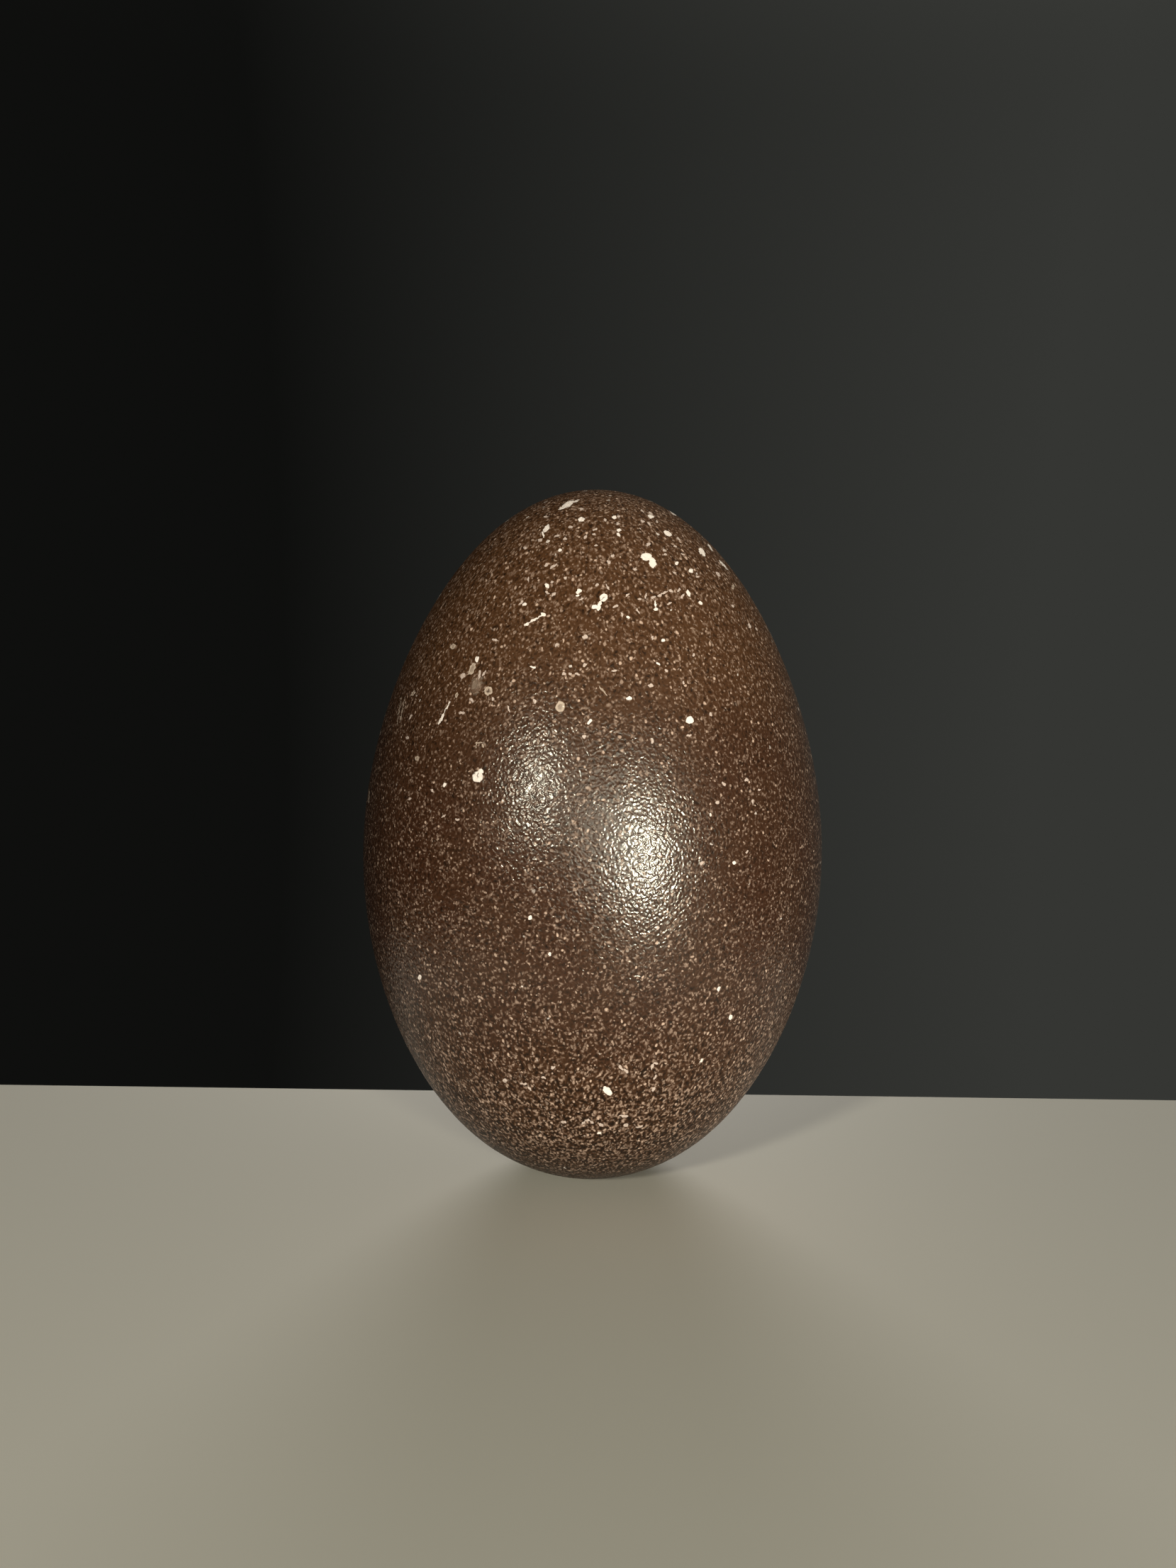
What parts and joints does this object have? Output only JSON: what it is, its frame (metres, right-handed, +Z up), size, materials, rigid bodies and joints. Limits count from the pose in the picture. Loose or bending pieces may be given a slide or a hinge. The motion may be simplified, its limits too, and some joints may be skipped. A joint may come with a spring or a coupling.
{
  "type": "blown emu egg",
  "caption": "Hollow dark brown eggshell with fine cream speckles, standing on a small flat spot with its blow hole in the middle.",
  "frame": {"origin": "middle of the flat spot that the egg stands on, on the egg's own axis", "axes": "+Z up along the egg's axis, from the blunt end to the narrow end; -Y towards the picture's camera"},
  "size_m": [0.0892, 0.0892, 0.1326],
  "materials": {
    "speckled_shell": "satin"
  },
  "bodies": {
    "root": {"eggshell": "speckled_shell"}
  },
  "joints": []
}
